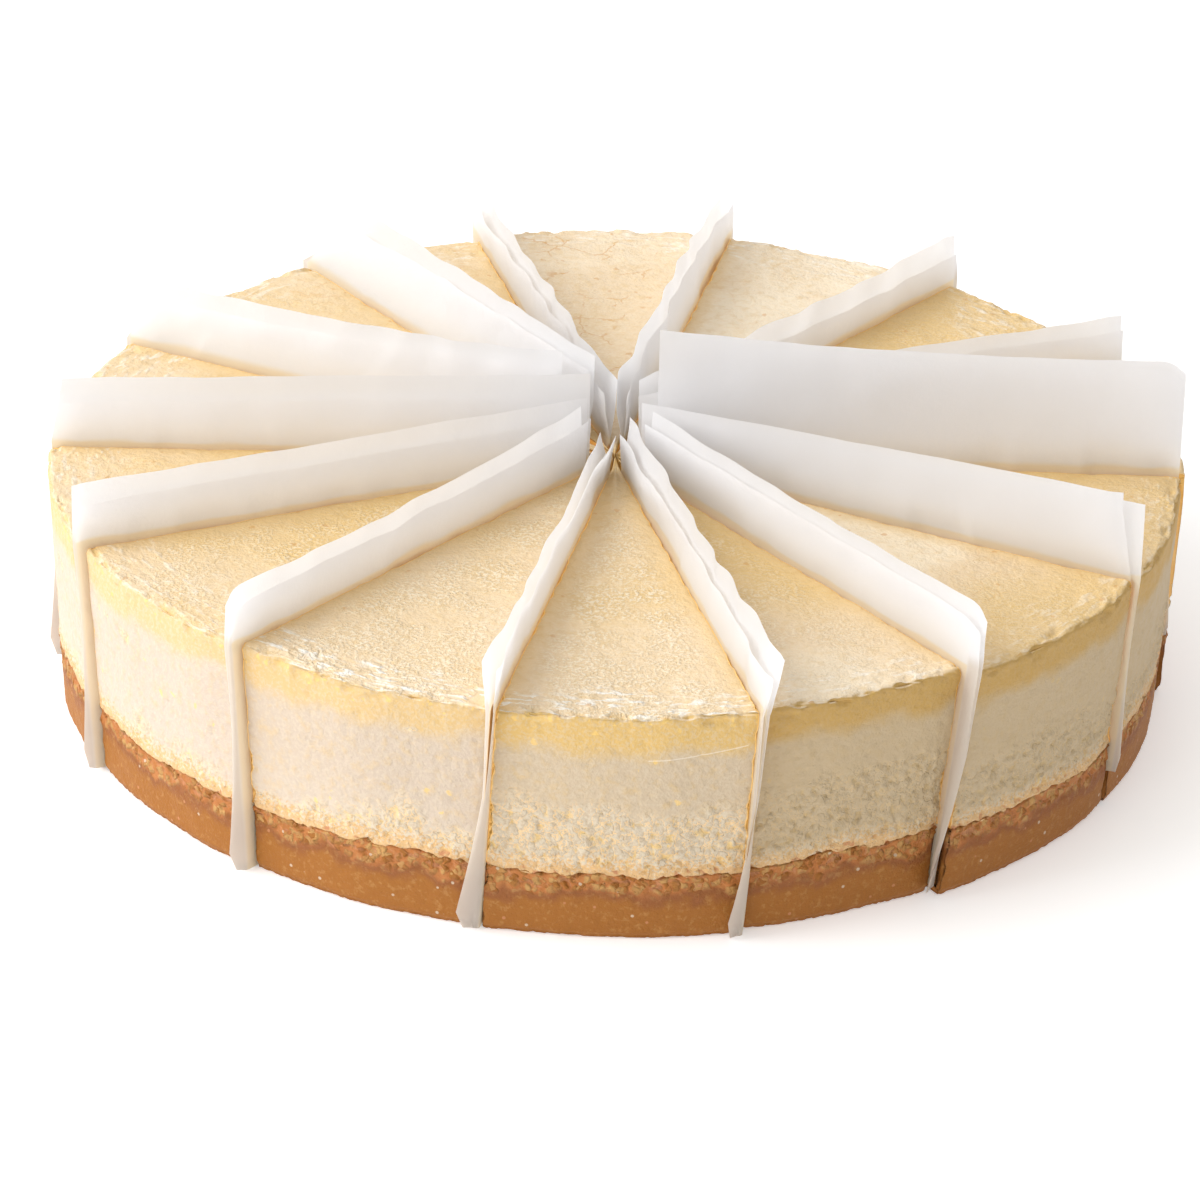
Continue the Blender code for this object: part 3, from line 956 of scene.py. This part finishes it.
def with_curds(tree, look, colour):
    """White grains and yellow dimples, and curds with painted golden shade in their crevices where
    the side is crumbly.
    """
    grains = ramp(tree, look.stipple, 0.45, 0.62, 0.0, 0.35)
    colour = mixed(tree, times(tree, grains, flipped(tree, look.on_top)), colour, WHITE_CURD)
    colour = mixed(tree, ramp(tree, look.dimples, 0.45, 0.75, 0.0, 0.30), colour, CUSTARD)
    curd = mixed(tree, ramp(tree, look.stipple, 0.35, 0.6), CREAM, WHITE_CURD)
    # Painted shade: gold in the crevices between the curds
    crevice_shade = ramp(tree, look.ridge, 0.038, 0.006)
    crevice_shade = times(tree, crevice_shade, ramp(tree, look.dimples, 0.38, 0.52, 0.1, 0.9))
    return mixed(tree, look.crumbly, colour, mixed(tree, crevice_shade, curd, CREVICE_SHADE_GOLD))


def with_holes(tree, look, colour):
    """Small holes, most in a band down from the rim, gold in the pits, and a painted glow and contact
    shadow in gold at the cuts' edges.
    """
    distance, chosen, size = rounded_cells(tree, look.warped, HOLE_SCALE)
    size = ramp(tree, size, 0.0, 1.0, 0.2, 0.6)
    hole = ramp(tree, maths(tree, "DIVIDE", distance, size), 1.0, 0.5)
    band = times(tree, ramp(tree, look.run, 0.0, 1.2), ramp(tree, look.run, 6.5, 2.5))
    band = times(tree, band, ramp(tree, look.drift, 0.4, 0.6, 0.15, 0.55))
    holed = plus(tree, HOLED, times(tree, look.cracks, HOLED_IN_CRACKS), band)
    hole = times(tree, hole, maths(tree, "LESS_THAN", chosen, holed), 0.6)
    colour = mixed(tree, hole, colour, mixed(tree, look.on_top, HOLE_YELLOW, CRACK_BROWN))
    # Painted glow and contact shadow: gold at the cuts' edges and on the cut faces
    colour = mixed(tree, ramp(tree, look.from_cut, 0.65, 0.0, 0.0, 0.95), colour, CUT_GLOW_AND_SHADOW)
    return mixed(tree, ramp(tree, look.pit, 0.1, 0.95, 0.0, 0.75), colour, PIT_GOLD)


def with_lower_side(tree, look, colour):
    """Gold and brown over the crumb base, painted shade on the sides turned from the light, and the
    front's scratch.
    """
    over_line = attribute(tree, "over_line")
    near = plus(tree, times(tree, over_line, 0.16), swung(tree, look.stipple, 2.4))
    colour = mixed(tree, ramp(tree, near, 0.75, 0.15, 0.0, 0.75), colour, CRUMB_GOLD)
    torn = times(tree, ramp(tree, over_line, 2.5, 0.8), look.pit)
    colour = mixed(tree, ramp(tree, torn, 0.2, 0.8), colour, CAVITY)
    # Painted shade: darker cream and custard on the sides of the slices turned from the light
    painted_shade = ramp(tree, look.shade, 0.1, 0.8, 0.0, 0.75)
    painted_shade = times(tree, painted_shade, flipped(tree, look.on_top), ramp(tree, over_line, 0.0, 6.0))
    painted_shade_colour = mixed(tree, ramp(tree, look.share, 0.68, 0.80), SHADED_CREAM, SHADED_CUSTARD)
    colour = mixed(tree, painted_shade, colour, painted_shade_colour)
    scratch = maths(tree, "ABSOLUTE", attribute(tree, "scratch"))
    return mixed(tree, ramp(tree, scratch, 0.22, 0.06, 0.0, 0.4), colour, SKIN_WHITE)


def filling_height(tree, look):
    """Fine height for the bump: stipple, dimples, streaks along the wrinkles, and curds."""
    return plus(
        tree,
        times(tree, look.stippled, look.stipple, look.on_top, 2.0),
        times(tree, look.stipple, 0.5),
        times(tree, look.dimples, 1.6),
        times(tree, look.streaks, look.wrinkle, 3.0),
        times(tree, ramp(tree, look.ridge, 0.0, 0.13), look.crumbly, 0.5),
    )


def filling_material():
    material, tree, shader = new_material("baked_filling")
    look = filling_textures(tree)
    colour = mixed(tree, look.on_top, body_colour(tree, look), skin_colour(tree, look))
    for added in (with_curds, with_holes, with_lower_side):
        colour = added(tree, look, colour)
    gloss = ramp(tree, look.dimples, 0.35, 0.7, 0.0, 0.16)
    inside = ramp(tree, look.from_cut, 0.35, 0.0)
    inputs = {
        "Base Color": colour,
        "Roughness": plus(tree, gloss, ramp(tree, look.on_top, 0.0, 1.0, 0.62, 0.33)),
        "Normal": bumped(tree, filling_height(tree, look), 0.9, 0.0003),
        "Specular IOR Level": 0.45,
        "Emission Color": GLOW,
        "Emission Strength": times(tree, inside, GLOW_STRENGTH),
    }
    set_inputs(tree, shader, inputs)
    return material


# Crumb base

BASE_GOLD = (0.36, 0.132, 0.017)
BASE_BROWN = (0.265, 0.086, 0.024)
BASE_PALE = (0.58, 0.32, 0.105)
BASE_ORANGE = (0.50, 0.175, 0.045)

# Sizes of the base's textures, as features per mm
BASE_DRIFT_SCALE = 0.16
MOTTLE_SCALE = 0.7
GRAIN_SCALE = 1.1
BASE_STIPPLE_SCALE = 1.3
CRUMB_SCALE = 0.55
SPECK_SCALE = 0.62

# Values of a cell at which it holds a speck, and the speck's colour
SPECKS = (("LESS_THAN", 0.035, WHITE_CURD), ("GREATER_THAN", 0.965, CAVITY))


def base_material():
    """Pressed crumb: gold low down, brown over it, a coarse rough layer on top, and a few specks."""
    material, tree, shader = new_material("biscuit_crumb")
    place = in_mm(tree)
    over_line = attribute(tree, "over_line")
    level = plus(tree, over_line, swung(tree, noise_texture(tree, place, BASE_DRIFT_SCALE), 9.0))
    colour = mixed(tree, ramp(tree, level, -8.5, -4.5), BASE_GOLD, BASE_BROWN)
    mottle = noise_texture(tree, place, MOTTLE_SCALE, 2.0, 0.65)
    colour = mixed(tree, ramp(tree, mottle, 0.52, 0.75, 0.0, 0.35), colour, BASE_PALE)
    grain = noise_texture(tree, place, GRAIN_SCALE, 3.0)
    near = plus(tree, times(tree, over_line, 0.35), swung(tree, grain, 3.2))
    colour = mixed(tree, ramp(tree, near, -0.3, 0.4, 0.0, 0.8), colour, BASE_PALE)

    distance, tone, _ = rounded_cells(tree, warped_place(tree, place, 0.5, 1.2), CRUMB_SCALE)
    lump = ramp(tree, distance, 0.72, 0.15)
    coarse = ramp(tree, level, -6.0, -3.0)
    crumbs = mixed(tree, ramp(tree, tone, 0.1, 0.9), BASE_GOLD, BASE_PALE)
    crumbs = mixed(tree, ramp(tree, lump, 0.5, 0.0, 0.0, 0.85), crumbs, BASE_ORANGE)
    colour = mixed(tree, coarse, colour, crumbs)

    distance, chosen, _ = rounded_cells(tree, place, SPECK_SCALE)
    dot = ramp(tree, distance, 0.30, 0.18)
    for operation, limit, speck in SPECKS:
        held = times(tree, dot, maths(tree, operation, chosen, limit), 0.7)
        colour = mixed(tree, held, colour, speck)
    colour = mixed(tree, ramp(tree, attribute(tree, "pit"), 0.25, 0.9, 0.0, 0.9), colour, CAVITY)

    stipple = noise_texture(tree, place, BASE_STIPPLE_SCALE, 3.0, 0.65)
    height = plus(tree, stipple, times(tree, lump, coarse, 1.8))
    inputs = {
        "Base Color": colour,
        "Roughness": 0.62,
        "Normal": bumped(tree, height, 0.8, 0.0004),
        "Specular IOR Level": 0.35,
    }
    set_inputs(tree, shader, inputs)
    return material


# Paper

PAPER_WHITE = (0.925, 0.92, 0.93)
PAPER_WARM = (0.94, 0.92, 0.90)
# Partly grease soaked into the paper, partly a painted glow from the cake
PAPER_SOAK_AND_GLOW = (0.935, 0.78, 0.49)
# Painted shade on the paper's ends that stand out past the side
PAPER_END_SHADE = (0.83, 0.77, 0.70)
PAPER_LIGHT = (1.0, 0.97, 0.94)
PAPER_LIGHT_STRENGTH = 0.09
FIBRE_SCALE = 0.35
SOAK_AND_GLOW_SCALE = 0.06
TRANSLUCENT = 0.55


def paper_material():
    """Greaseproof paper: gold near the cake, partly soaked grease and partly a painted glow from the cake,
    and darker and warmer with painted shade where its ends stand out past the side.
    """
    material, tree, shader = new_material("greaseproof_paper")
    place = in_mm(tree)
    rise = attribute(tree, "rise")
    outside = ramp(tree, attribute(tree, "out"), 0.2, 1.2)
    # Warmer and then gold towards the cake: partly grease soaked in, partly a painted glow from the cake
    colour = mixed(tree, ramp(tree, rise, 1.0, 9.0), PAPER_WARM, PAPER_WHITE)
    drift = noise_texture(tree, place, SOAK_AND_GLOW_SCALE)
    reach = maths(tree, "DIVIDE", rise, ramp(tree, drift, 0.35, 0.65, 0.8, 2.1))
    soak_and_glow = maths(tree, "POWER", ramp(tree, reach, 1.0, 0.0), 1.7)
    soak_and_glow = times(tree, soak_and_glow, maths(tree, "SUBTRACT", 0.55, times(tree, outside, 0.55)))
    colour = mixed(tree, soak_and_glow, colour, PAPER_SOAK_AND_GLOW)
    # Painted shade: the ends that stand out past the side are darker and warmer below the cake's top
    edge = mixed(tree, ramp(tree, rise, 0.0, 4.0), PAPER_END_SHADE, PAPER_WHITE)
    colour = mixed(tree, outside, colour, edge)
    normal = bumped(tree, noise_texture(tree, place, FIBRE_SCALE, 3.0, 0.6), 0.25, 0.0004)
    inputs = {
        "Base Color": colour,
        "Roughness": 0.5,
        "Normal": normal,
        "Specular IOR Level": 0.35,
        "Emission Color": PAPER_LIGHT,
        "Emission Strength": ramp(tree, rise, 0.0, 6.0, 0.0, PAPER_LIGHT_STRENGTH),
    }
    set_inputs(tree, shader, inputs)
    through = add_node(tree, "ShaderNodeBsdfTranslucent", {"Color": colour, "Normal": normal})
    parts = {0: TRANSLUCENT, 1: shader.outputs[0], 2: through.outputs[0]}
    surface = add_node(tree, "ShaderNodeMixShader", parts).outputs[0]
    set_inputs(tree, tree.nodes["Material Output"], {"Surface": surface})
    return material


# Stage, lights and camera

# The camera's place in m and its height angle, its turn, and its lens in mm, fitted to the photograph
CAMERA_DISTANCE = 1.5
CAMERA_HEIGHT_ANGLE = radians(27.606)
PITCH = radians(26.982)
YAW = radians(-0.107)
ROLL = radians(1.559)
LENS = 194.65

# Each light's name, place in m, size in m, power in W and colour
LIGHTS = (
    ("window", (-1.02, -0.15, 0.85), 1.1, 13.9, (0.96, 0.98, 1.0)),
    ("back", (0.15, 1.3, 0.62), 0.8, 1.9, (1.0, 0.99, 0.98)),
    ("front", (-0.9, -1.0, 0.6), 0.9, 2.8, (1.0, 0.99, 0.98)),
    ("right", (1.4, 0.1, 0.55), 0.9, 0.8, (1.0, 0.99, 0.98)),
)

FLOOR_HALF = 6.0
FLOOR_COLOUR = (0.92, 0.92, 0.93)
FLOOR_LIGHT = 0.34

# The room's light, from its left to its right, and what is added overhead
ROOM_COLOUR = (1.0, 0.985, 0.965)
ROOM_LEFT = 0.74
ROOM_RIGHT = 0.22
ROOM_OVERHEAD = 0.28

# How often light bounces, kept low so that a full render stays under 5 minutes
BOUNCES = 4
DIFFUSE_BOUNCES = 3
TRANSMISSION_BOUNCES = 3


def add_camera():
    forward = Vector((sin(YAW) * cos(PITCH), cos(YAW) * cos(PITCH), -sin(PITCH)))
    level_right = forward.cross(Vector((0.0, 0.0, 1.0))).normalized()
    level_up = level_right.cross(forward)
    right = level_right * cos(ROLL) + level_up * sin(ROLL)
    up = level_up * cos(ROLL) - level_right * sin(ROLL)
    data = bpy.data.cameras.new("camera")
    data.lens = LENS
    data.sensor_width = 36.0
    data.clip_end = 20.0
    camera = bpy.data.objects.new("camera", data)
    turn = Matrix((right, up, -forward)).transposed().to_4x4()
    away = -CAMERA_DISTANCE * cos(CAMERA_HEIGHT_ANGLE)
    place = (0.0, away, CAMERA_DISTANCE * sin(CAMERA_HEIGHT_ANGLE))
    camera.matrix_world = Matrix.Translation(place) @ turn
    bpy.context.scene.collection.objects.link(camera)
    bpy.context.scene.camera = camera


def add_area_light(name, place, size, power, colour):
    """A light that points at the middle of the cake's underside."""
    data = bpy.data.lights.new(name, "AREA")
    data.size = size
    data.energy = power
    data.color = colour
    light = bpy.data.objects.new(name, data)
    light.location = place
    light.rotation_euler = (-Vector(place)).to_track_quat("-Z", "Y").to_euler()
    bpy.context.scene.collection.objects.link(light)


def add_floor():
    mesh = bpy.data.meshes.new("floor")
    corners = [(x * FLOOR_HALF, y * FLOOR_HALF, 0) for x, y in ((-1, -1), (1, -1), (1, 1), (-1, 1))]
    mesh.from_pydata(corners, [], [(0, 1, 2, 3)])
    material, tree, shader = new_material("pale_floor")
    inputs = {
        "Base Color": FLOOR_COLOUR,
        "Roughness": 0.7,
        "Specular IOR Level": 0.2,
        "Emission Color": (1.0, 1.0, 1.0),
        "Emission Strength": FLOOR_LIGHT,
    }
    set_inputs(tree, shader, inputs)
    mesh.materials.append(material)
    floor = bpy.data.objects.new("floor", mesh)
    bpy.context.scene.collection.objects.link(floor)


def add_room():
    world = bpy.data.worlds.new("pale_room")
    world.use_nodes = True
    tree = world.node_tree
    direction = add_node(tree, "ShaderNodeTexCoord").outputs["Generated"]
    across = part_of(tree, direction, "X")
    strength = ramp(tree, across, -1.0, 1.0, ROOM_LEFT, ROOM_RIGHT, interpolation="LINEAR")
    above = maths(tree, "MAXIMUM", part_of(tree, direction, "Z"), 0.0)
    strength = plus(tree, strength, times(tree, above, ROOM_OVERHEAD))
    set_inputs(tree, tree.nodes["Background"], {"Color": ROOM_COLOUR, "Strength": strength})
    bpy.context.scene.world = world


def add_stage():
    add_floor()
    add_room()
    for light in LIGHTS:
        add_area_light(*light)
    bpy.context.scene.view_settings.view_transform = "Standard"
    light_paths = bpy.context.scene.cycles
    light_paths.max_bounces = BOUNCES
    light_paths.diffuse_bounces = DIFFUSE_BOUNCES
    light_paths.transmission_bounces = TRANSMISSION_BOUNCES


def main():
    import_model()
    cad_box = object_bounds()
    CAD_BOX.extend(cad_box)
    kinds = (
        ("filling", "cheese_filling", filling_material()),
        ("base", "crumb_base", base_material()),
        ("paper", "baking_paper", paper_material()),
    )
    for kind, slot, material in kinds:
        for index in range(SLICES):
            if kind == "paper":
                piece = paper_sheet(index, material)
            else:
                piece = layer(kind, index, material)
            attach(piece, "root")
            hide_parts(f"{kind}_{index + 1:02d}")
    add_stage()
    add_camera()


main()
